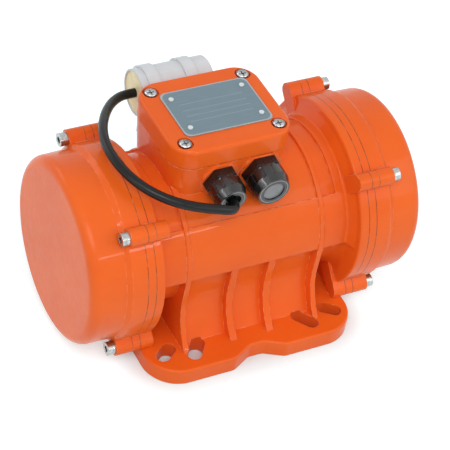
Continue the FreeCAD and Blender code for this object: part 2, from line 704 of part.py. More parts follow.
# stator seat, necks and registers bored out
turned(housing, [(-D.flange_out - 1, ZERO), (D.flange_out + 1, ZERO),
                 (D.flange_out + 1, D.spigot_radius), (D.flange_out - D.spigot_depth, D.spigot_radius),
                 (D.flange_out - D.spigot_depth, D.neck_bore), (D.seat_half, D.neck_bore),
                 (D.seat_half, D.stator_radius), (-D.seat_half, D.stator_radius),
                 (-D.seat_half, D.neck_bore), (-D.flange_out + D.spigot_depth, D.neck_bore),
                 (-D.flange_out + D.spigot_depth, D.spigot_radius), (-D.flange_out - 1, D.spigot_radius)],
       groove=True)
# wire way from the terminal box to the stator
prim(housing, "SubtractiveCylinder", (D.box_x + 18, D.box_y + 4, size(0)), Radius=6,
     Height=D.box_floor - A + 2)
# gland threads through the front wall
for x, thread in ((D.gland_a_x, D.gland_a_thread), (D.gland_b_x, D.gland_b_thread)):
    prim(housing, "SubtractiveCylinder", gland_point(x, size(-3.5)), TILT, Radius=thread + D.snug, Height=9)
# cover screw threads in the lobes
for side in (1, -1):
    hole = prim(housing, "SubtractiveCylinder", ((D.flange_out + 1) * side, DIAGONAL, DIAGONAL),
                "-x" if side > 0 else "+x", Radius=D.fix_radius + D.snug, Height=D.ear_length - 1)
    around(housing, [hole], 4)
# diagonal fixing slots
sk = new_sketch(housing, "XY_Plane", -A - 1)
for sx in (1, -1):
    for sy in (1, -1):
        slot(sk, D.slot_out_x * sx, D.slot_out_y * sy, D.slot_out_half, D.slot_out_turn * (sx * sy),
             D.slot_radius)
        slot(sk, D.slot_in_x * sx, D.slot_in_y * sy, D.slot_in_half, D.slot_in_turn * (sx * sy),
             D.slot_radius)
pocket(housing, sk, D.foot_thick + 2, back=True)


# ---------------------------------------------------------------- both ends
SIDES = (("left", -1), ("right", 1))
shield_out = D.flange_out + D.shield_wall
rim_out = shield_out + D.rim_length
bearing_out = D.bearing_in + D.bearing_wide
spigot_floor = D.flange_out - D.spigot_depth
hub = D.bearing_radius + D.hub_wall
seal_out = bearing_out + D.seal_wide
disc_in = D.weight_in + D.weight_thick
swing_in = disc_in + D.disc_thick + D.weight_gap
swing_out = swing_in + D.weight_thick
clip_in = swing_out + D.weight_gap
PERMUTE = Rotation(Vector(1, 1, 1), 120)
HALF_DOWN = PERMUTE.multiply(Rotation(Vector(0, 0, 1), 180))


def mirrored(points, side):
    """The same half section on the left or on the right."""
    return [(x * side, radius) for x, radius in points]


def ring(body, side, inner, outer, near, far):
    """Plain ring about the shaft axis."""
    return turned(body, mirrored([(near, inner), (far, inner), (far, outer), (near, outer)], side))


for name, side in SIDES:
    out = "+x" if side > 0 else "-x"
    back = "-x" if side > 0 else "+x"

    # bearing shield: outer ring with lobes, register, web and bearing hub
    shield = new_body(name + "_bearing_shield", z=A)
    turned(shield, mirrored([
        (D.bearing_in - D.lip, D.bearing_radius - D.lip), (D.bearing_in - D.lip, hub),
        (spigot_floor + D.slack, hub + 1), (spigot_floor + D.slack, D.spigot_radius - D.snug),
        (D.flange_out, D.spigot_radius - D.snug), (D.flange_out, D.flange_radius),
        (shield_out, D.flange_radius), (shield_out, D.spigot_radius - 6),
        (D.flange_out + 0.5, D.spigot_radius - 8), (D.flange_out + 0.5, hub + 2),
        (seal_out, hub), (seal_out, D.bearing_radius), (D.bearing_in, D.bearing_radius),
        (D.bearing_in, D.bearing_radius - D.lip)], side))
    sk = new_sketch(shield, "YZ_Plane", D.flange_out * side, 45)
    lobe(sk, D.spigot_radius + 5, D.screw_circle, D.lobe_radius)
    ear = pad(shield, sk, D.shield_wall, back=side < 0)
    around(shield, [ear], 4)
    hole = prim(shield, "SubtractiveCylinder", ((D.flange_out - 1) * side, DIAGONAL, DIAGONAL), out,
                Radius=D.fix_radius + D.slack, Height=D.shield_wall + 2)
    around(shield, [hole], 4)
    turned(shield, mirrored([(shield_out + 1, D.seal_groove), (shield_out - D.seal_thick, D.seal_groove),
                             (shield_out - D.seal_thick, D.seal_groove + D.seal_thick),
                             (shield_out + 1, D.seal_groove + D.seal_thick)], side), groove=True)

    # cover seal in its groove
    seal = new_body(name + "_cover_seal", z=A)
    ring(seal, side, D.seal_groove + D.snug, D.seal_groove + D.seal_thick - D.snug,
         shield_out - D.seal_thick, shield_out)

    # end cover: drafted cup with a rim and four screw lobes
    cover = new_body(name + "_cover", z=A)
    inside = D.cover_end - D.cover_wall
    turned(cover, mirrored([
        (shield_out, D.cover_radius - D.cover_wall), (inside - 4, D.cover_end_radius - D.cover_wall),
        (inside, D.cover_end_radius - D.cover_wall - 4), (inside, ZERO), (D.cover_end, ZERO),
        (D.cover_end, D.cover_end_radius), (rim_out + 2.2, D.cover_radius),
        (rim_out, D.flange_radius - 0.5), (rim_out - 0.8, D.flange_radius),
        (shield_out, D.flange_radius)], side))
    round_edges(cover, D.cover_round, ring_edge(D.cover_end * side, D.cover_end_radius))
    sk = new_sketch(cover, "YZ_Plane", shield_out * side, 45)
    lobe(sk, D.cover_radius - D.cover_wall + 0.5, D.screw_circle, D.lobe_radius)
    ear = pad(cover, sk, D.rim_length, back=side < 0)
    around(cover, [ear], 4)
    hole = prim(cover, "SubtractiveCylinder", ((shield_out - 1) * side, DIAGONAL, DIAGONAL), out,
                Radius=D.fix_radius + D.slack, Height=D.rim_length + 2)
    around(cover, [hole], 4)

    # four cover screws with hexagon sockets
    screws = new_body(name + "_cover_screws", z=A)
    for sy, sz in ((1, 1), (-1, 1), (-1, -1), (1, -1)):
        y = DIAGONAL * sy
        z = DIAGONAL * sz
        prim(screws, "AdditiveCylinder", (rim_out * side, y, z), out, Radius=D.cap_head,
             Height=D.cap_height)
        prim(screws, "AdditiveCylinder", ((rim_out + 1) * side, y, z), back, Radius=D.fix_radius,
             Height=rim_out - D.flange_out + D.ear_length - 2)
        prim(screws, "SubtractivePrism", ((rim_out + D.cap_height) * side, y, z), back,
             Polygon=6, Circumradius=D.socket, Height=D.socket_deep)

    # ball bearing: outer ring, balls in their cage, inner ring on the shaft
    outer_ring = new_body(name + "_bearing_outer_ring", z=A)
    ring(outer_ring, side, D.race_out, D.bearing_radius - D.snug, D.bearing_in, bearing_out)
    cage = new_body(name + "_bearing_balls_and_cage", z=A)
    pitch = (D.race_out + D.race_in) / 2
    middle = D.bearing_in + D.bearing_wide / 2
    ring(cage, side, pitch - D.cage_thick / 2, pitch + D.cage_thick / 2, middle - D.cage_half,
         middle + D.cage_half)
    ball = prim(cage, "AdditiveSphere", (middle * side, ZERO, pitch), "+z",
                Radius=(D.race_out - D.race_in) / 2 - D.snug)
    around(cage, [ball], 7)
    inner_ring = new_body(name + "_bearing_inner_ring", z=A)
    ring(inner_ring, side, D.shaft_radius + D.snug, D.race_in, D.bearing_in, bearing_out)
    oil_seal = new_body(name + "_shaft_seal", z=A)
    ring(oil_seal, side, D.shaft_radius + D.snug, D.bearing_radius - D.snug, bearing_out, seal_out)

    # fixed eccentric weight, hanging down from its hub
    fixed = new_body(name + "_fixed_weight", z=A)
    near = D.weight_in if side > 0 else -D.weight_in - D.weight_thick
    prim(fixed, "AdditiveCylinder", (near, ZERO, ZERO), HALF_DOWN, Radius=D.weight_radius,
         Height=D.weight_thick, Angle=180)
    prim(fixed, "AdditiveCylinder", (near, ZERO, ZERO), "+x", Radius=D.weight_hub, Height=D.weight_thick)
    prim(fixed, "SubtractiveCylinder", (near - 1, ZERO, ZERO), "+x", Radius=D.shaft_end + D.snug,
         Height=D.weight_thick + 2)

    # graduated disc between the two weights
    disc = new_body(name + "_graduated_disc", z=A)
    ring(disc, side, D.shaft_end + D.snug, D.disc_radius, disc_in, disc_in + D.disc_thick)

    # adjustable weight, turned on the shaft to set the force
    swing = new_body(name + "_adjustable_weight", z=A)
    near = swing_in if side > 0 else -swing_out
    prim(swing, "AdditiveCylinder", (near, ZERO, ZERO), HALF_DOWN, Radius=D.weight_radius,
         Height=D.weight_thick, Angle=180)
    prim(swing, "AdditiveCylinder", (near, ZERO, ZERO), "+x", Radius=D.weight_hub, Height=D.weight_thick)
    prim(swing, "SubtractiveCylinder", (near - 1, ZERO, ZERO), "+x", Radius=D.shaft_end + D.snug,
         Height=D.weight_thick + 2)
    at_grub = (near + D.weight_thick / 2, ZERO, ZERO)
    prim(swing, "SubtractiveCylinder", at_grub, "+z", Radius=D.fix_radius + D.snug, Height=D.weight_hub + 1)
    grub = new_body(name + "_weight_clamp_screw", z=A)
    at_grub = (near + D.weight_thick / 2, ZERO, D.shaft_end + D.snug)
    prim(grub, "AdditiveCylinder", at_grub, "+z", Radius=D.fix_radius,
         Height=D.weight_hub - D.shaft_end + 2)
    prim(grub, "SubtractivePrism", (near + D.weight_thick / 2, ZERO, D.weight_hub + D.snug + 2), "-z",
         Polygon=6, Circumradius=D.socket * 0.6, Height=D.socket_deep)

    # snap ring that keeps the weights on the shaft
    snap = new_body(name + "_snap_ring", z=A)
    ring(snap, side, D.shaft_end - D.snap_deep + D.snug, D.shaft_end + 3, clip_in, clip_in + D.snap_wide)
    near = clip_in if side > 0 else -clip_in - D.snap_wide
    prim(snap, "SubtractiveBox", (near - 1, -D.shaft_end / 2, D.snug), "+z", Length=D.snap_wide + 2,
         Width=D.shaft_end, Height=D.shaft_end * 2)

# ---------------------------------------------------------------- rotor and stator
shaft = new_body("shaft", z=A)
half = [(ZERO, D.shaft_mid), (D.bearing_in, D.shaft_mid), (D.bearing_in, D.shaft_radius),
        (D.weight_in - 1, D.shaft_radius), (D.weight_in - 1, D.shaft_end), (clip_in, D.shaft_end),
        (clip_in, D.shaft_end - D.snap_deep), (clip_in + D.snap_wide, D.shaft_end - D.snap_deep),
        (clip_in + D.snap_wide, D.shaft_end), (D.shaft_half - 1, D.shaft_end),
        (D.shaft_half, D.shaft_end - 1), (D.shaft_half, ZERO)]
turned(shaft, [(-x, radius) for x, radius in half[::-1]] + half[1:])
rotor_core = new_body("rotor_core", z=A)
turned(rotor_core, [(-D.stator_half, D.shaft_mid + D.snug), (D.stator_half, D.shaft_mid + D.snug),
                    (D.stator_half, D.rotor_radius), (-D.stator_half, D.rotor_radius)])
end_rings = new_body("rotor_end_rings", z=A)
windings = new_body("stator_windings", z=A)
for name, side in SIDES:
    ring(end_rings, side, D.rotor_radius - 9, D.rotor_radius - 1, D.stator_half, D.stator_half + 6)
    bore = D.rotor_radius + D.air_gap
    ring_points = [(D.stator_half, bore + 2), (D.stator_half + 10, bore + 2), (D.stator_half + 12, bore + 6),
                   (D.stator_half + 9, D.stator_radius - 3), (D.stator_half, D.stator_radius - 2)]
    turned(windings, mirrored(ring_points, side))
stator = new_body("stator_core", z=A)
turned(stator, [(-D.stator_half, D.rotor_radius + D.air_gap), (D.stator_half, D.rotor_radius + D.air_gap),
                (D.stator_half, D.stator_radius - D.snug), (-D.stator_half, D.stator_radius - D.snug)])

# ---------------------------------------------------------------- terminal box fittings
lid_low = D.box_top + D.lid_gap
LID_SCREWS = [(D.lid_screw_x * sx, D.lid_screw_y * sy) for sx in (1, -1) for sy in (1, -1)]
RIVETS = [(D.rivet_x * sx, D.rivet_y * sy) for sx in (1, -1) for sy in (1, -1)]

lid = new_body("terminal_box_lid", D.box_x, D.box_y, lid_low)
sk = new_sketch(lid, "XY_Plane")
rounded_box(sk, 0, 0, D.lid_half_x, D.lid_half_y, D.lid_corner)
pad(lid, sk, D.lid_top - lid_low)
top = (D.lid_top - lid_low).value
round_edges(lid, D.lid_round, lambda edge: all(abs(v.Z - top) < 1e-3 for v in edge.Vertexes))
sk = new_sketch(lid, "XY_Plane")
rounded_box(sk, 0, 0, D.lid_half_x - D.lid_wall, D.lid_half_y - D.lid_wall, D.lid_corner - D.lid_wall)
pocket(lid, sk, D.lid_top - lid_low - D.lid_deck, back=True)
for x, y in LID_SCREWS:
    prim(lid, "AdditiveCylinder", (x, y, ZERO), Radius=D.pillar_radius, Height=D.lid_top - lid_low - 1)
    prim(lid, "SubtractiveCylinder", (x, y, size(-1)), Radius=D.fix_radius + D.slack,
         Height=D.lid_top - lid_low + 2)
    prim(lid, "SubtractiveCylinder", (x, y, D.lid_top - lid_low - D.lid_sink), Radius=D.lid_sink_radius,
         Height=D.lid_sink + 1)
for x, y in RIVETS:
    prim(lid, "SubtractiveCylinder", (x + D.plate_shift, y, D.lid_top - lid_low - D.rivet_deep),
         Radius=D.pin_radius + D.snug, Height=D.rivet_deep + 1)

lid_gasket = new_body("lid_gasket", D.box_x, D.box_y, D.box_top)
sk = new_sketch(lid_gasket, "XY_Plane")
rounded_box(sk, 0, 0, D.box_half_x - D.gasket_inset, D.box_half_y - D.gasket_inset,
            D.box_corner - D.gasket_inset)
rounded_box(sk, 0, 0, D.lid_screw_x - 4, D.lid_screw_y - 4, 3)
for x, y in LID_SCREWS:
    circle(sk, x, y, D.fix_radius + D.slack)
pad(lid_gasket, sk, D.lid_gap)

lid_screws = new_body("lid_screws", D.box_x, D.box_y, D.lid_top - D.lid_sink)
for x, y in LID_SCREWS:
    prim(lid_screws, "AdditiveCylinder", (x, y, ZERO), Radius=D.pan_radius, Height=D.pan_height)
    prim(lid_screws, "AdditiveCylinder", (x, y, ZERO), "-z", Radius=D.fix_radius,
         Height=D.lid_top - D.lid_sink - D.box_floor - 1)
    for long_x in (True, False):
        wide = D.cross_long if long_x else D.cross_wide
        deep = D.cross_wide if long_x else D.cross_long
        prim(lid_screws, "SubtractiveBox", (x - wide / 2, y - deep / 2, D.pan_height - 1.6),
             Length=wide, Width=deep, Height=2)

nameplate = new_body("nameplate", D.box_x + D.plate_shift, D.box_y, D.lid_top)
sk = new_sketch(nameplate, "XY_Plane")
rounded_box(sk, 0, 0, D.plate_half_x, D.plate_half_y, D.plate_corner)
for x, y in RIVETS:
    circle(sk, x, y, D.pin_radius + D.snug)
pad(nameplate, sk, D.plate_thick)

rivets = new_body("nameplate_rivets", D.box_x + D.plate_shift, D.box_y, D.lid_top + D.plate_thick)
for x, y in RIVETS:
    prim(rivets, "AdditiveCylinder", (x, y, ZERO), Radius=D.rivet_radius, Height=D.rivet_head)
    prim(rivets, "AdditiveCylinder", (x, y, ZERO), "-z", Radius=D.pin_radius,
         Height=D.plate_thick + D.rivet_deep - 0.5)

# terminal block with barriers, studs and nuts, and the earth screw
block = new_body("terminal_block", D.box_x - 6, D.box_y, D.box_floor)
prim(block, "AdditiveBox", (-D.block_half, size(-8), ZERO), Length=D.block_half * 2, Width=16, Height=7)
for i in range(4):
    prim(block, "AdditiveBox", (-D.block_half + (D.block_half * 2 - 1.6) / 3 * i, size(-8), ZERO),
         Length=1.6, Width=16, Height=12)
studs = new_body("terminal_studs", D.box_x - 6, D.box_y, D.box_floor + 7)
for i in (-1, 0, 1):
    at = ((D.block_half * 2 - 1.6) / 3 * i, ZERO, ZERO)
    prim(studs, "AdditiveCylinder", at, Radius=D.stud_radius, Height=8)
    prim(studs, "AdditivePrism", at, Polygon=6, Circumradius=D.stud_radius * 2, Height=3.2)
earth = new_body("earth_screw", D.box_x - 29.5, D.box_y + 8, D.box_floor)
prim(earth, "AdditiveCylinder", (ZERO, ZERO, ZERO), Radius=D.pan_radius, Height=D.pan_height)

# ---------------------------------------------------------------- cable glands
GLANDS = (("cable_gland", D.gland_a_x, D.gland_a_hex, D.gland_a_cap, D.gland_a_mouth, D.gland_a_thread),
          ("blank_gland", D.gland_b_x, D.gland_b_hex, D.gland_b_cap, D.gland_b_mouth, D.gland_b_thread))
cap_low = D.gland_pad + 2 + D.gland_hex_long
for name, x, hexagon, cap_side, mouth, thread in GLANDS:
    at = (x, wall_y + 2, D.gland_z)
    sleeve = thread - 0.8
    opening = mouth - D.gland_lip
    gland = new_body(name + "_body", *at, rotation=TILT)
    prim(gland, "AdditiveCylinder", (ZERO, ZERO, size(-3)), Radius=thread, Height=D.gland_pad + 5)
    prim(gland, "AdditivePrism", (ZERO, ZERO, D.gland_pad + 2), Polygon=6, Circumradius=hexagon,
         Height=D.gland_hex_long)
    prim(gland, "AdditiveCylinder", (ZERO, ZERO, cap_low), Radius=sleeve, Height=D.gland_sleeve)
    prim(gland, "SubtractiveCylinder", (ZERO, ZERO, size(-4)), Radius=opening - 1.5,
         Height=cap_low + D.gland_sleeve + 5)
    cap = new_body(name + "_cap", *at, rotation=TILT)
    straight = D.gland_cap_long - D.gland_taper
    prim(cap, "AdditiveCylinder", (ZERO, ZERO, cap_low), Radius=cap_side, Height=straight)
    prim(cap, "AdditiveCone", (ZERO, ZERO, cap_low + straight), Radius1=cap_side, Radius2=mouth,
         Height=D.gland_taper)
    prim(cap, "SubtractiveCylinder", (ZERO, ZERO, cap_low - 1), Radius=sleeve + D.snug,
         Height=D.gland_sleeve + 1 + D.slack)
    prim(cap, "SubtractiveCylinder", (ZERO, ZERO, cap_low), Radius=opening, Height=D.gland_cap_long + 1)
    plug = new_body("cable_gland_seal" if name == "cable_gland" else "gland_blanking_disc", *at,
                    rotation=TILT)
    sunk = D.seal_sunk if name == "cable_gland" else D.disc_sunk
    prim(plug, "AdditiveCylinder", (ZERO, ZERO, cap_low + D.gland_cap_long - sunk - D.gland_seal),
         Radius=opening - D.snug, Height=D.gland_seal)

# ---------------------------------------------------------------- capacitor
can = new_body("capacitor_can", D.cap_x0, D.cap_y, D.cap_z)
prim(can, "AdditiveCylinder", (ZERO, ZERO, ZERO), "+x", Radius=D.cap_radius, Height=D.cap_long)
round_edges(can, D.can_round, ring_edge(D.cap_long, D.cap_radius))
prim(can, "SubtractiveCylinder", (size(-1), ZERO, ZERO), "+x", Radius=D.cap_radius - D.can_wall,
     Height=D.resin_thick + D.resin_sunk + 1)
resin = new_body("capacitor_resin_end", D.cap_x0, D.cap_y, D.cap_z)
prim(resin, "AdditiveCylinder", (D.resin_sunk, ZERO, ZERO), "+x", Radius=D.cap_radius - D.can_wall - D.snug,
     Height=D.resin_thick)

clips = new_body("capacitor_clips", 0, D.cap_y, D.cap_z)
clip_screws = new_body("clip_screws", 0, D.clip_seat, D.clip_screw_z)
for x in (D.clip_a_x, D.clip_b_x):
    near = x - D.clip_wide / 2
    prim(clips, "AdditiveCylinder", (near, ZERO, ZERO), "+x",
         Radius=D.cap_radius + D.snug + D.clip_thick, Height=D.clip_wide)
    prim(clips, "AdditiveBox", (near, D.clip_seat - D.cap_y, D.clip_screw_z - 5 - D.cap_z),
         Length=D.clip_wide, Width=D.clip_thick, Height=D.cap_z - D.clip_screw_z + 9)
for x in (D.clip_a_x, D.clip_b_x):
    near = x - D.clip_wide / 2
    prim(clips, "SubtractiveCylinder", (near - 1, ZERO, ZERO), "+x",
         Radius=D.cap_radius + D.snug, Height=D.clip_wide + 2)
    prim(clips, "SubtractiveCylinder", (x, D.clip_seat - D.cap_y + 3, D.clip_screw_z - D.cap_z), "-y",
         Radius=D.fix_radius + D.slack, Height=4)
    prim(clip_screws, "AdditivePrism", (x, D.clip_thick, ZERO), "+y", Polygon=6,
         Circumradius=D.hex_head, Height=3)
    prim(clip_screws, "AdditiveCylinder", (x, D.clip_thick, ZERO), "-y", Radius=D.fix_radius,
         Height=D.clip_thick + 8)

# ---------------------------------------------------------------- capacitor cable
seat = cap_low + D.gland_cap_long - D.seal_sunk
cord_start = Vector(D.gland_a_x.value, (wall_y + 2).value, D.gland_z.value)
cord_start += TILT.multVec(Vector(0, 0, seat.value))
CORD = [cord_start, cord_start + TILT.multVec(Vector(0, 0, 6.3)), Vector(-23.6, -50.6, 115.2),
        Vector(-33, -49.9, 118), Vector(-47, -46.6, 121), Vector(-60.5, -40.8, 124.4),
        Vector(-72.5, -31, 128.2), Vector(-80.5, -16, 131.4), Vector(-82.5, 4, 132.5),
        Vector(-77.5, 23.5, 131), Vector(-67.5, 41, 127.2), Vector(-58, 52.6, 123.8),
        Vector(-50, 58.6, 121.9), Vector(-44, D.cap_y.value, D.cap_z.value),
        Vector((D.cap_x0 + D.resin_sunk).value, D.cap_y.value, D.cap_z.value)]


def cord_wire(points):
    """Straight runs joined by tangent arcs as large as the runs allow."""
    edges = []
    length = 0.0
    last = points[0]
    for before, corner, after in zip(points, points[1:], points[2:]):
        u = (before - corner).normalize()
        v = (after - corner).normalize()
        turn = math.pi - u.getAngle(v)
        reach = 0.45 * min((before - corner).Length, (after - corner).Length)
        radius = reach / math.tan(turn / 2)
        start = corner + u * reach
        end = corner + v * reach
        middle = corner + (u + v).normalize() * radius * (1 / math.cos(turn / 2) - 1)
        edges.append(Part.LineSegment(last, start).toShape())
        edges.append(Part.Arc(start, middle, end).toShape())
        length += (start - last).Length + radius * turn
        last = end
        print("cord arc radius", round(radius, 1), "turn", round(math.degrees(turn)))
    edges.append(Part.LineSegment(last, points[-1]).toShape())
    return Part.Wire(edges), length + (points[-1] - last).Length


wire, cord_length = cord_wire(CORD)
radius = sheet.get("cord_radius")
section = Part.Wire([Part.Circle(CORD[0], CORD[1] - CORD[0], radius).toShape()])
tube = wire.makePipeShell([section], True, False)
wanted = math.pi * radius ** 2 * cord_length
print("cord length", round(cord_length, 1), "volume", round(tube.Volume, 1), "wanted", round(wanted, 1))
if abs(tube.Volume - wanted) > 0.01 * wanted:
    raise RuntimeError("the cable's volume is wrong")
cable = doc.addObject("Part::Feature", "capacitor_cable")
cable.Label = "capacitor_cable"
cable.Shape = tube
cable.Placement = Placement()
NODES.append(cable)


def finish():
    """Check every object and write each piece to its own file."""
    doc.recompute()
    for obj in doc.Objects:
        if "Invalid" in obj.State or "Error" in obj.State:
            raise RuntimeError("%s failed: %s" % (obj.Name, obj.State))
    os.makedirs("parts", exist_ok=True)
    for node in NODES:
        shape = node.Shape
        if shape.isNull() or not shape.isValid() or not shape.Solids:
            raise RuntimeError("bad shape: " + node.Label)
        shape.exportStep("parts/%s.step" % node.Label)
        print(node.Label, len(shape.Solids), "solids", round(shape.Volume / 1000.0, 2), "cm3")


finish()
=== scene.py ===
import json
import math
import bpy
from mathutils import Matrix, Vector


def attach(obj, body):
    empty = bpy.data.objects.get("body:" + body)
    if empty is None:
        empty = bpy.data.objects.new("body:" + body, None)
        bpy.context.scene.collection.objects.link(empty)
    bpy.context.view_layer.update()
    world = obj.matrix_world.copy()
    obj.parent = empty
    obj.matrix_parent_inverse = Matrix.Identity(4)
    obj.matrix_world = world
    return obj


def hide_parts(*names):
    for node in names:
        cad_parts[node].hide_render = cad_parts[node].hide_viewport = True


# Foot-mounted electric vibration motor: glossy orange castings, black cable
# glands, a white capacitor with its black cable, and bright zinc screws.
# Metres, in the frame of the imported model: X along the shaft, -Y the gland side.

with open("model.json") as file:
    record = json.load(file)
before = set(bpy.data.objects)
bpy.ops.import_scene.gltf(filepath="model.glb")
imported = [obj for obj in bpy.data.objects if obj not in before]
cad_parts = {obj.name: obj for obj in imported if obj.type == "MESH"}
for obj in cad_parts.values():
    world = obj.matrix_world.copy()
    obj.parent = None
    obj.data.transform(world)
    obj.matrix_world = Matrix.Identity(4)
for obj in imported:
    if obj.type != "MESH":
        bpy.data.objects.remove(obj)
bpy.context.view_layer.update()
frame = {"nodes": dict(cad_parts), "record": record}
nodes = frame["nodes"]
scene = bpy.context.scene

MM = 0.001
TILT = math.radians(5.5)            # the glands' axes, against the level
GLAND_WALL = (-22.82, 116.2)        # y and z where the glands' axes meet the box wall, mm
GLAND_MOUTH = 18.9                  # from that wall to the mouth of a cap, mm
GLAND_BARREL = (8.0, 15.0)          # stretch of a cap that has grips, from that wall, mm
GLAND_GRIPS = 12
SEAMS = (73.2, 78.5)                # joints of shield and cover, from the middle along the shaft, mm
PLATE_MIDDLE = (-9.5, 9.4)          # nameplate, mm
PLATE_FIELD = (24.0, 15.1)          # half sizes of its coloured field inside the round corners, mm
PLATE_RULES = (7.5, 1.5, -3.5, -8.5)
SCREW_MIDDLE = (-10.5, 9.4)         # middle of the four lid screws, mm
SCREW_APART = (31.4, 24.6)          # each screw from that middle, mm
SCREW_HEAD = 3.9                    # radius of the domed part of a head, mm
SCREW_DOME = 0.0024
FOOT_HALF = (72.0 * MM, 76.5 * MM)
FOOT_CORNER = 23.0 * MM


# ------------------------------------------------------------------ node helpers
def background_rays(tree):
    """1 for the rays that see the background: from the camera, off gloss and through clear parts."""
    rays = tree.nodes.new("ShaderNodeLightPath").outputs
    seen = rays["Is Camera Ray"]
    for kind in ("Is Glossy Ray", "Is Transmission Ray"):
        either = tree.nodes.new("ShaderNodeMath")
        either.operation = "MAXIMUM"
        tree.links.new(seen, either.inputs[0])
        tree.links.new(rays[kind], either.inputs[1])
        seen = either.outputs[0]
    return seen


class Nodes:
    """Short way to write a material's node tree."""

    def __init__(self, name, metal=0.0):
        self.material = bpy.data.materials.new(name)
        self.material.use_nodes = True
        self.tree = self.material.node_tree
        self.shader = self.tree.nodes["Principled BSDF"]
        self.shader.inputs["Metallic"].default_value = metal
        self.place = self.node("ShaderNodeTexCoord").outputs["Object"]

    def node(self, kind, **settings):
        made = self.tree.nodes.new(kind)
        for key, value in settings.items():
            setattr(made, key, value)
        return made

    def join(self, source, target):
        self.tree.links.new(source, target)

    def feed(self, target, value):
        if isinstance(value, bpy.types.NodeSocket):
            self.join(value, target)
        else:
            target.default_value = value

    def noise(self, scale, detail=3.0, rough=0.5, place=None):
        made = self.node("ShaderNodeTexNoise")
        self.join(place or self.place, made.inputs["Vector"])
        made.inputs["Scale"].default_value = scale
        made.inputs["Detail"].default_value = detail
        made.inputs["Roughness"].default_value = rough
        return made.outputs["Fac"]

    def stretch(self, scale):
        made = self.node("ShaderNodeMapping")
        self.join(self.place, made.inputs["Vector"])
        made.inputs["Scale"].default_value = scale
        return made.outputs["Vector"]

    def axes(self, vector):
        made = self.node("ShaderNodeSeparateXYZ")
        self.join(vector, made.inputs["Vector"])
        return made.outputs

    def span(self, value, low, high, to_low=0.0, to_high=1.0):
        made = self.node("ShaderNodeMapRange")
        self.join(value, made.inputs["Value"])
        limits = {"From Min": low, "From Max": high, "To Min": to_low, "To Max": to_high}
        for key, number in limits.items():
            made.inputs[key].default_value = number
        return made.outputs["Result"]

    def mix(self, amount, first, second):
        made = self.node("ShaderNodeMix", data_type="RGBA")
        self.feed(made.inputs[0], amount)
        self.feed(made.inputs[6], first)
        self.feed(made.inputs[7], second)
        return made.outputs[2]

    def math(self, kind, first, second=0.0):
        made = self.node("ShaderNodeMath", operation=kind)
        self.feed(made.inputs[0], first)
        self.feed(made.inputs[1], second)
        return made.outputs[0]

    def lines(self, value, places, outer, inner):
        """1 on thin lines where the value is at one of the places, fading from inner to outer."""
        drawn = None
        for place in places:
            off = self.math("ABSOLUTE", self.math("SUBTRACT", value, place))
            line = self.span(off, outer, inner)
            drawn = line if drawn is None else self.math("MAXIMUM", drawn, line)
        return drawn

    def past_box(self, across, along, half):
        """How far a point lies past a box: the length of max(|p| - half, 0)."""
        squares = []
        for value, limit in zip((across, along), half):
            past = self.math("MAXIMUM", self.math("SUBTRACT", self.math("ABSOLUTE", value), limit))
            squares.append(self.math("MULTIPLY", past, past))
        return self.math("SQRT", self.math("ADD", *squares))

    def bump(self, height, strength, distance, normal):
        made = self.node("ShaderNodeBump")
        made.inputs["Strength"].default_value = strength
        made.inputs["Distance"].default_value = distance
        self.join(height, made.inputs["Height"])
        self.join(normal, made.inputs["Normal"])
        self.join(made.outputs["Normal"], self.shader.inputs["Normal"])

    def soft_edges(self, radius):
        made = self.node("ShaderNodeBevel", samples=6)
        made.inputs["Radius"].default_value = radius
        return made.outputs["Normal"]

    def edge_mask(self, radius):
        """How much a bevelled normal leans away from the true one: 1 along sharp edges."""
        true = self.node("ShaderNodeNewGeometry").outputs["Normal"]
        made = self.node("ShaderNodeVectorMath", operation="DOT_PRODUCT")
        self.join(true, made.inputs[0])
        self.join(self.soft_edges(radius), made.inputs[1])
        return self.span(made.outputs["Value"], 0.995, 0.90)

    def set(self, **values):
        for key, value in values.items():
            self.feed(self.shader.inputs[key.replace("_", " ")], value)


def rgb(r, g, b):
    """A colour given on the 0-255 scale of a screen, as linear light."""
    parts = [c / 255.0 for c in (r, g, b)]
    linear = [c / 12.92 if c <= 0.04045 else ((c + 0.055) / 1.055) ** 2.4 for c in parts]
    return tuple(linear) + (1.0,)


# ------------------------------------------------------------------ materials
def paint(name, soft):
    """Glossy stoving paint over a sand casting: slight waves, fine orange peel, clear coat.

    Broken glints are painted along the edges as a lighter colour, a painted highlight,
    and the two joints of each end (housing to shield, shield to cover) show as thin dark lines.
    """
    n = Nodes(name)
    broad = n.noise(18.0, 4.0)
    colour = n.mix(n.span(broad, 0.3, 0.7), rgb(228, 92, 24), rgb(237, 102, 30))
    # Painted highlight: a pale colour mixed into the paint along sharp edges, broken up by noise.
    broken = n.span(n.noise(240.0, 3.0), 0.44, 0.62)
    glint = n.math("MULTIPLY", n.edge_mask(soft * 0.9), n.math("MULTIPLY", broken, 0.55))
    colour = n.mix(glint, colour, rgb(255, 196, 158))
    out = n.math("ABSOLUTE", n.axes(n.place)[0])
    seams = n.lines(out, [place * MM for place in SEAMS], 0.32 * MM, 0.12 * MM)
    seams = n.math("MULTIPLY", seams, n.span(n.noise(160.0, 3.0), 0.35, 0.6, 0.45, 0.85))
    colour = n.mix(seams, colour, rgb(96, 34, 10))
    n.set(Base_Color=colour, Roughness=n.span(n.noise(260.0, 2.0), 0.3, 0.7, 0.36, 0.46),
          Coat_Weight=0.38, Coat_Roughness=0.04)
    n.shader.inputs["Specular IOR Level"].default_value = 0.12
    n.shader.inputs["Coat IOR"].default_value = 1.33
    waves = n.noise(95.0, 3.0, 0.55)
    grain = n.noise(900.0, 2.0)
    height = n.math("ADD", waves, n.math("MULTIPLY", grain, 0.12))
    n.bump(height, 0.35, 0.0006, n.soft_edges(soft))
    return n.material


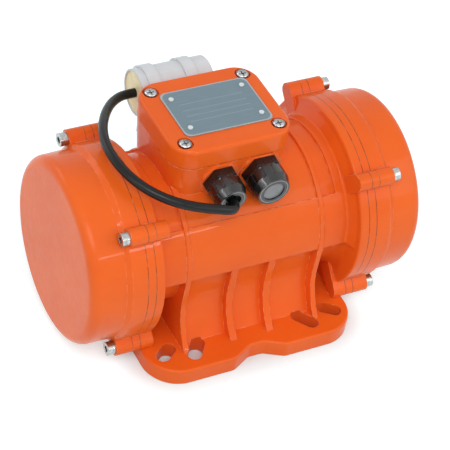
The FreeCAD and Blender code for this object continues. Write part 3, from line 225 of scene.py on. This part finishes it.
def zinc(name):
    """Bright zinc on steel: a slight cloud and a fine grain."""
    n = Nodes(name, 1.0)
    cloud = n.noise(700.0, 3.0)
    n.set(Base_Color=n.mix(n.span(cloud, 0.3, 0.7), rgb(205, 206, 204), rgb(160, 162, 160)),
          Roughness=n.span(cloud, 0.3, 0.7, 0.2, 0.38))
    n.bump(n.noise(2500.0, 2.0), 0.15, 0.0001, n.soft_edges(0.0004))
    return n.material


def steel(name, colour, low, high):
    """Machined steel with fine turning marks about the shaft."""
    n = Nodes(name, 1.0)
    marks = n.noise(60.0, 4.0, place=n.stretch((1, 30, 30)))
    n.set(Base_Color=n.mix(n.span(marks, 0.3, 0.7), rgb(*colour), rgb(*[c * 0.8 for c in colour])),
          Roughness=n.span(marks, 0.3, 0.7, low, high))
    n.bump(marks, 0.1, 0.0002, n.soft_edges(0.0004))
    return n.material


def plastic(name, colour, low, high, soft=0.0004, shine=0.5, tone=1.12):
    """Moulded plastic or rubber: small change of tone, fine grain."""
    n = Nodes(name)
    n.shader.inputs["Specular IOR Level"].default_value = shine
    cloud = n.noise(160.0, 3.0)
    lighter = [min(255, c * tone + 2) for c in colour]
    n.set(Base_Color=n.mix(n.span(cloud, 0.3, 0.7), rgb(*colour), rgb(*lighter)),
          Roughness=n.span(cloud, 0.3, 0.7, low, high))
    n.bump(n.noise(1400.0, 2.0), 0.12, 0.0002, n.soft_edges(soft))
    return n.material


def plate_metal(name):
    """Brushed plate: a bare margin round a blue-grey field with four faint rules."""
    n = Nodes(name)
    brush = n.noise(90.0, 3.0, place=n.stretch((1, 45, 1)))
    axes = n.axes(n.place)
    across = n.math("SUBTRACT", axes[0], PLATE_MIDDLE[0] * MM)
    along = n.math("SUBTRACT", axes[1], PLATE_MIDDLE[1] * MM)
    reach = n.past_box(across, along, [half * MM for half in PLATE_FIELD])
    field = n.span(reach, 4.8 * MM, 4.5 * MM)
    rules = n.lines(along, [height * MM for height in PLATE_RULES], 0.22 * MM, 0.12 * MM)
    rules = n.math("MULTIPLY", rules, n.span(n.math("ABSOLUTE", across), 21.5 * MM, 21.3 * MM))
    ink = n.mix(n.span(brush, 0.3, 0.7), rgb(104, 126, 138), rgb(122, 142, 150))
    bare = n.mix(n.span(brush, 0.3, 0.7), rgb(160, 170, 174), rgb(176, 184, 186))
    shown = n.mix(n.math("MULTIPLY", rules, 0.5), ink, bare)
    n.set(Base_Color=n.mix(field, bare, shown), Roughness=n.span(brush, 0.3, 0.7, 0.34, 0.5),
          Metallic=n.span(field, 0.0, 1.0, 0.8, 0.25))
    n.bump(brush, 0.08, 0.0001, n.soft_edges(0.0002))
    return n.material


def gland_cap(name, centre, mouth):
    """Black nylon cap about the tilted axis: grip recesses, and a painted highlight: a thin pale ring
    at its mouth.
    """
    n = Nodes(name)
    n.shader.inputs["Specular IOR Level"].default_value = 0.55
    n.set(Coat_Weight=0.4, Coat_Roughness=0.08)
    way = Vector((0.0, -math.cos(TILT), -math.sin(TILT)))
    from_wall = n.node("ShaderNodeVectorMath", operation="SUBTRACT")
    n.join(n.place, from_wall.inputs[0])
    from_wall.inputs[1].default_value = (centre * MM, GLAND_WALL[0] * MM, GLAND_WALL[1] * MM)
    along = n.node("ShaderNodeVectorMath", operation="DOT_PRODUCT")
    n.join(from_wall.outputs[0], along.inputs[0])
    along.inputs[1].default_value = way
    aside = n.node("ShaderNodeVectorMath", operation="CROSS_PRODUCT")
    n.join(from_wall.outputs[0], aside.inputs[0])
    aside.inputs[1].default_value = way
    reach = n.node("ShaderNodeVectorMath", operation="LENGTH")
    n.join(aside.outputs[0], reach.inputs[0])
    # Painted highlight: a thin pale ring on the end face just inside the mouth, faded in places by
    # noise.
    ring = n.lines(reach.outputs["Value"], [(mouth - 1.2) * MM], 0.34 * MM, 0.18 * MM)
    front = n.span(along.outputs["Value"], (GLAND_MOUTH - 0.1) * MM, (GLAND_MOUTH + 0.1) * MM)
    cloud = n.noise(160.0, 3.0)
    ring_fade = n.span(n.noise(300.0, 2.0), 0.3, 0.7, 0.55, 0.3)
    ring = n.math("MULTIPLY", n.math("MULTIPLY", ring, front), ring_fade)
    black = n.mix(n.span(cloud, 0.3, 0.7), rgb(14, 14, 15), rgb(20, 20, 21))
    n.set(Base_Color=n.mix(ring, black, rgb(190, 190, 190)),
          Roughness=n.span(cloud, 0.3, 0.7, 0.2, 0.32))
    axes = n.axes(aside.outputs[0])
    turned = n.math("ARCTAN2", n.math("MULTIPLY", axes[0], -1.0), axes[2])
    grips = n.span(n.math("COSINE", n.math("MULTIPLY", turned, GLAND_GRIPS)), 0.55, 0.8)
    start, end = GLAND_BARREL
    barrel = n.math("MULTIPLY",
                    n.span(along.outputs["Value"], (start - 0.5) * MM, (start + 0.5) * MM),
                    n.span(along.outputs["Value"], (end + 0.5) * MM, (end - 0.5) * MM))
    height = n.math("MULTIPLY", n.math("MULTIPLY", grips, barrel), -0.0005)
    n.bump(height, 1.0, 1.0, n.soft_edges(0.0007))
    return n.material


def domed_zinc(name):
    """Bright pan heads of the lid screws: each one rises towards its own centre."""
    n = Nodes(name, 1.0)
    squares = []
    for value, middle, apart in zip(n.axes(n.place), SCREW_MIDDLE, SCREW_APART):
        side = n.math("ABSOLUTE", n.math("SUBTRACT", value, middle * MM))
        local = n.math("SUBTRACT", side, apart * MM)
        squares.append(n.math("MULTIPLY", local, local))
    square = n.math("DIVIDE", n.math("ADD", *squares), (SCREW_HEAD * MM) ** 2)
    rise = n.math("SQRT", n.math("MAXIMUM", n.math("SUBTRACT", 1.0, square), 0.0))
    dome = n.math("MULTIPLY", rise, SCREW_DOME)
    cloud = n.noise(700.0, 3.0)
    n.set(Base_Color=n.mix(n.span(cloud, 0.3, 0.7), rgb(206, 208, 208), rgb(176, 180, 182)),
          Roughness=n.span(cloud, 0.3, 0.7, 0.22, 0.34))
    n.bump(dome, 1.0, 1.0, n.soft_edges(0.0004))
    return n.material


ORANGE = paint("orange_paint", 0.0008)
ZINC = zinc("zinc_plate")
DOMED = domed_zinc("lid_screw_zinc")
RIVETS = plastic("rivet_metal", (212, 215, 216), 0.2, 0.3, 0.0005, tone=1.04)
SHAFT_STEEL = steel("machined_steel", (178, 180, 184), 0.25, 0.4)
BEARING = steel("bearing_steel", (214, 216, 220), 0.12, 0.2)
CORE = steel("stacked_steel", (110, 112, 116), 0.4, 0.55)
ALUMINIUM = steel("cast_aluminium", (196, 198, 200), 0.35, 0.5)
COPPER = plastic("enamelled_winding", (168, 88, 34), 0.25, 0.4)
PLATE = plate_metal("plate_metal")
CAP_SMALL = gland_cap("small_gland_cap", -19.3, 8.6)
CAP_LARGE = gland_cap("large_gland_cap", 8.3, 10.3)
NYLON = plastic("black_nylon", (14, 14, 15), 0.2, 0.32, 0.0007, shine=0.55)
RUBBER = plastic("black_rubber", (24, 24, 24), 0.5, 0.65)
BLOCK = plastic("block_plastic", (52, 50, 48), 0.4, 0.5)
BRASS = steel("brass", (212, 172, 92), 0.25, 0.4)
GREY_DISC = plastic("grey_disc", (120, 122, 124), 0.32, 0.42)
WHITE = plastic("white_plastic", (206, 208, 211), 0.28, 0.36, tone=1.02)
RESIN = plastic("cast_resin", (226, 212, 168), 0.4, 0.5)
SHEATH = plastic("cable_sheath", (11, 12, 13), 0.26, 0.38, shine=0.3)

FINISH = {
    "orange_paint": ORANGE, "zinc_steel": ZINC, "black_rubber": RUBBER, "bearing_steel": BEARING,
    "weight_steel": SHAFT_STEEL, "core_steel": CORE, "aluminium": ALUMINIUM, "winding": COPPER,
    "plate_metal": PLATE, "block_plastic": BLOCK, "brass": BRASS, "black_nylon": NYLON,
    "disc_plastic": GREY_DISC, "capacitor_plastic": WHITE, "resin": RESIN, "clip_metal": WHITE,
    "cable_sheath": SHEATH,
}
for entry in frame["record"]["subparts"]:
    node = nodes[entry["node"]]
    node.data.materials.clear()
    node.data.materials.append(FINISH[entry["material_slot"]])
for name, finish in (("nameplate_rivets", RIVETS), ("cable_gland_cap", CAP_SMALL),
                     ("blank_gland_cap", CAP_LARGE), ("lid_screws", DOMED)):
    nodes[name].data.materials[0] = finish

# ------------------------------------------------------------------ camera
AZIMUTH = math.radians(-32.605)
ELEVATION = math.radians(43.064)
ROLL = math.radians(9.833)
STAND = (-0.474546, -0.728145, 0.847357)
right = Vector((math.cos(AZIMUTH), math.sin(AZIMUTH), 0))
back = Vector((math.sin(AZIMUTH) * math.cos(ELEVATION),
               -math.cos(AZIMUTH) * math.cos(ELEVATION),
               math.sin(ELEVATION)))
up = back.cross(right)
turned_right = right * math.cos(ROLL) + up * math.sin(ROLL)
turned_up = up * math.cos(ROLL) - right * math.sin(ROLL)
camera = bpy.data.objects.new("camera", bpy.data.cameras.new("camera"))
scene.collection.objects.link(camera)
camera.matrix_world = Matrix([
    (turned_right[i], turned_up[i], back[i], STAND[i]) for i in range(3)] + [(0, 0, 0, 1)])
camera.data.lens = 148.246
camera.data.sensor_width = 36.0
camera.data.shift_x = 0.05
camera.data.shift_y = 0.035
camera.data.clip_start = 0.05
camera.data.clip_end = 20.0
scene.camera = camera

# ------------------------------------------------------------------ capacitor cable
CABLE_ROUTE = [
    (-19.3, -39.73, 114.38), (-19.3, -46.0, 113.77), (-23.6, -50.6, 115.2), (-33, -49.9, 118),
    (-47, -46.6, 121), (-60.5, -40.8, 124.4), (-72.5, -31, 128.2), (-80.5, -16, 131.4),
    (-82.5, 4, 132.5), (-77.5, 23.5, 131), (-67.5, 41, 127.2), (-58, 52.6, 123.8),
    (-50, 58.6, 121.9), (-44, 60.6, 121), (-37.8, 60.6, 121),
]
CABLE_DIAMETER = 6.0 * MM
curve = bpy.data.curves.new("capacitor_lead", "CURVE")
curve.dimensions = "3D"
curve.bevel_depth = CABLE_DIAMETER / 2
curve.bevel_resolution = 8
curve.use_fill_caps = True
spline = curve.splines.new("NURBS")
spline.points.add(len(CABLE_ROUTE) - 1)
for point, (x, y, z) in zip(spline.points, CABLE_ROUTE):
    point.co = (x * MM, y * MM, z * MM, 1.0)
spline.order_u = 3
spline.use_endpoint_u = True
spline.resolution_u = 12
curve.materials.append(SHEATH)
lead = bpy.data.objects.new("capacitor_lead", curve)
scene.collection.objects.link(lead)
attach(lead, "stator")
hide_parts("capacitor_cable")

# ------------------------------------------------------------------ floor and light
def floor_paper(name, colour, glow):
    """Pale paper that the background's rays see lifted to white, less so round the foot plate, which
    paints a soft shadow there.

    How far a point lies outside the plate's rounded outline is |max(|p| - half + corner, 0)| - corner.
    """
    n = Nodes(name)
    axes = n.axes(n.place)
    length = n.past_box(axes[0], axes[1], [half - FOOT_CORNER for half in FOOT_HALF])
    # Painted shadow: the glow falls from full on the open floor to 0.15 under and round the foot
    # plate.
    glow_outside_painted_shadow = n.span(length, FOOT_CORNER - 6 * MM, FOOT_CORNER + 16 * MM, 0.15, 1.0)
    seen_glow = n.math("MULTIPLY", background_rays(n.tree), glow)
    n.set(Base_Color=colour, Roughness=0.9, Emission_Color=(0.93, 1.0, 1.0, 1.0),
          Emission_Strength=n.math("MULTIPLY", seen_glow, glow_outside_painted_shadow))
    n.shader.inputs["Specular IOR Level"].default_value = 0.1
    return n.material


floor_mesh = bpy.data.meshes.new("floor")
FLOOR_HALF = 6.0
corners = [(x * FLOOR_HALF, y * FLOOR_HALF, 0) for x, y in ((-1, -1), (1, -1), (1, 1), (-1, 1))]
floor_mesh.from_pydata(corners, [], [(0, 1, 2, 3)])
floor = bpy.data.objects.new("floor", floor_mesh)
floor.location.z = -0.0002
scene.collection.objects.link(floor)
floor_mesh.materials.append(floor_paper("pale_floor", (0.69, 0.79, 0.81, 1.0), 0.50))

world = bpy.data.worlds.new("studio")
scene.world = world
world.use_nodes = True
background = world.node_tree.nodes["Background"]
level = world.node_tree.nodes.new("ShaderNodeMapRange")
level.inputs["To Min"].default_value = 0.57     # light on the object
level.inputs["To Max"].default_value = 1.0      # white behind it
world.node_tree.links.new(background_rays(world.node_tree), level.inputs["Value"])
world.node_tree.links.new(level.outputs["Result"], background.inputs["Strength"])
background.inputs["Color"].default_value = (1, 1, 1, 1)

MOTOR_MIDDLE = Vector((0, 0, 0.06))


def lamp(name, place, power, width, height):
    """Soft rectangular lamp aimed at the middle of the motor."""
    data = bpy.data.lights.new(name, "AREA")
    data.energy = power
    data.shape = "RECTANGLE"
    data.size = width
    data.size_y = height
    made = bpy.data.objects.new(name, data)
    made.location = place
    made.rotation_euler = (MOTOR_MIDDLE - Vector(place)).to_track_quat("-Z", "Y").to_euler()
    scene.collection.objects.link(made)
    return made


lamp("key", (-0.5, -0.9, 1.3), 8.6, 0.9, 0.6)
lamp("fill", (1.1, -1.0, 0.9), 5.2, 1.0, 1.0)
lamp("rim", (-0.9, 1.3, 0.8), 3.0, 0.9, 0.5)
lamp("streak", (-1.25, -0.35, 0.85), 2.1, 0.04, 0.9)
lamp("glint", (0.35, -1.35, 0.75), 1.0, 0.5, 0.04)

scene.view_settings.view_transform = "Standard"
bpy.context.view_layer.update()
